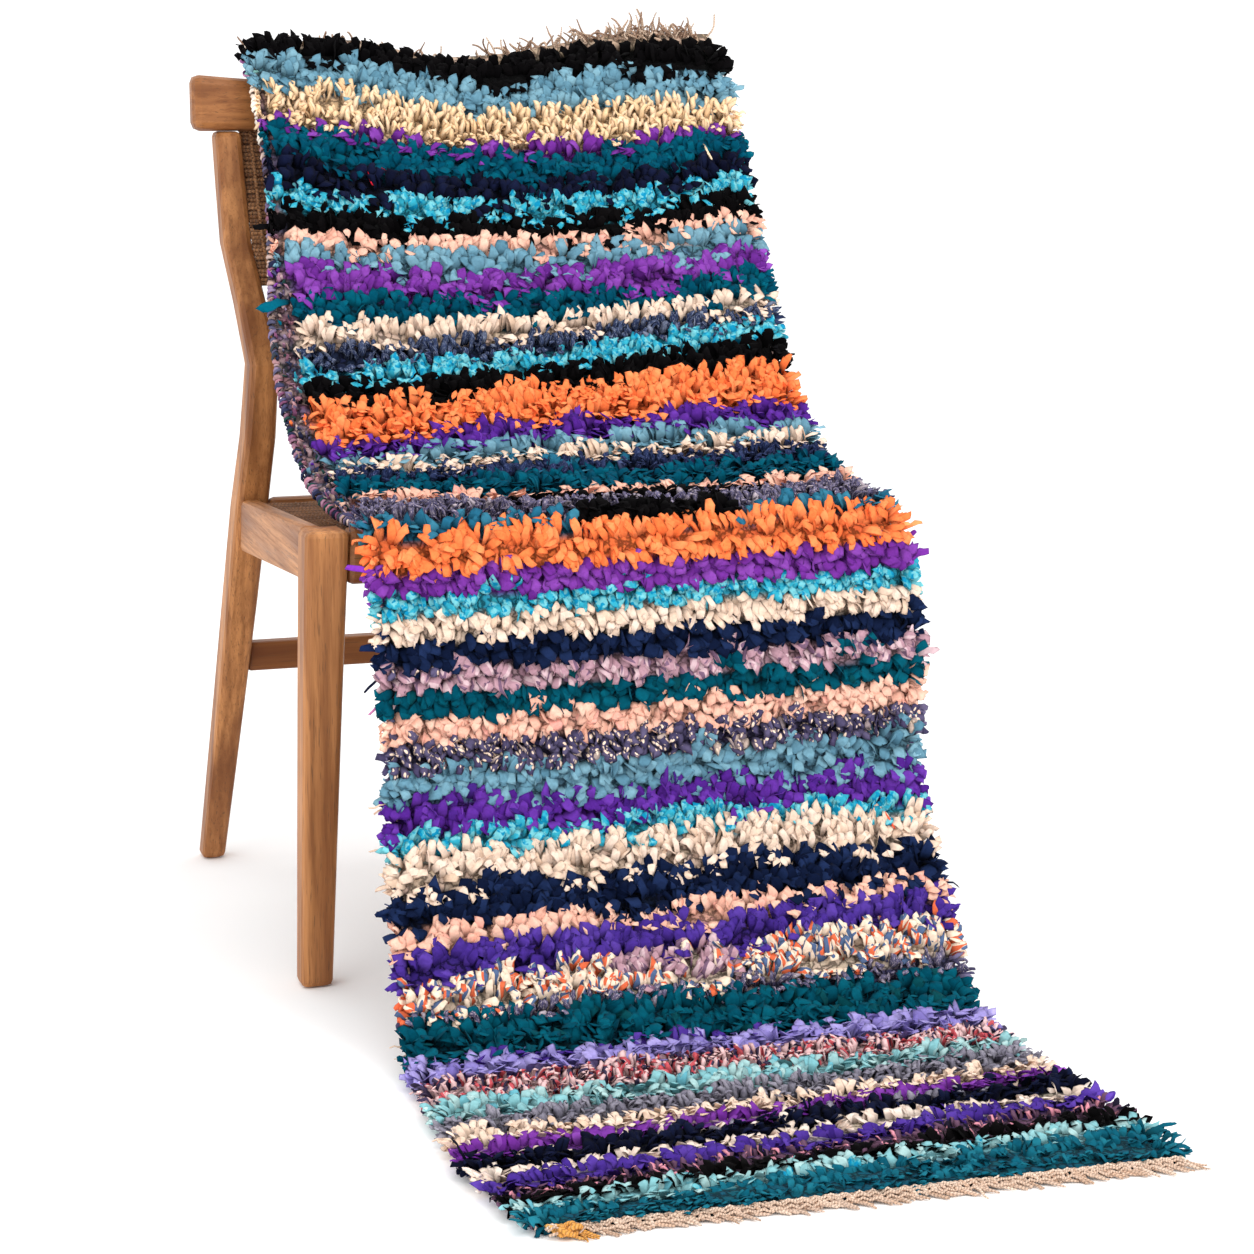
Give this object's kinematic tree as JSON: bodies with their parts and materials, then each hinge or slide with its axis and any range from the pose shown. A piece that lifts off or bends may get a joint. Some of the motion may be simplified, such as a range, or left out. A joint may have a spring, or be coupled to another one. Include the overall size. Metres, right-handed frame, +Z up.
{
  "type": "boucherouite rug draped over a chair",
  "caption": "Shaggy striped rag rug hung over the back and seat of a plain wooden chair, running out flat on the floor to a fringed end",
  "frame": {"origin": "centre of the bounding box, on the floor", "axes": "+X to the right of a viewer who faces the chair, +Y from the front of the chair to its back, +Z up"},
  "size_m": [0.6266, 1.2354, 0.9253],
  "materials": {
    "oak": "oiled oak, satin",
    "paper_cord": "twisted paper cord, dark brown",
    "rag_pile": "knotted rag pile in many coloured stripes",
    "rag_locks": "rag strips standing out past the selvedge",
    "warp_yarn": "undyed wool and cotton warp yarn"
  },
  "bodies": {
    "root": {"front_left_leg": "oak", "front_right_leg": "oak", "rear_left_leg": "oak", "rear_right_leg": "oak", "top_rail": "oak", "lower_back_rail": "oak", "front_seat_rail": "oak", "left_seat_rail": "oak", "right_seat_rail": "oak", "rear_seat_rail": "oak", "rear_stretcher": "oak", "woven_back": "paper_cord", "woven_seat": "paper_cord", "rug_body": "rag_pile", "left_locks_crest": "rag_locks", "left_locks_rail": "rag_locks", "left_locks_hang": "rag_locks", "left_locks_swing": "rag_locks", "left_locks_seat": "rag_locks", "left_locks_edge": "rag_locks", "left_locks_drop": "rag_locks", "left_locks_flare": "rag_locks", "left_locks_floor": "rag_locks", "right_locks_crest": "rag_locks", "right_locks_rail": "rag_locks", "right_locks_hang": "rag_locks", "right_locks_swing": "rag_locks", "right_locks_seat": "rag_locks", "right_locks_edge": "rag_locks", "right_locks_drop": "rag_locks", "right_locks_flare": "rag_locks", "right_locks_floor": "rag_locks", "upper_fringe": "warp_yarn", "floor_fringe": "warp_yarn"}
  },
  "joints": []
}
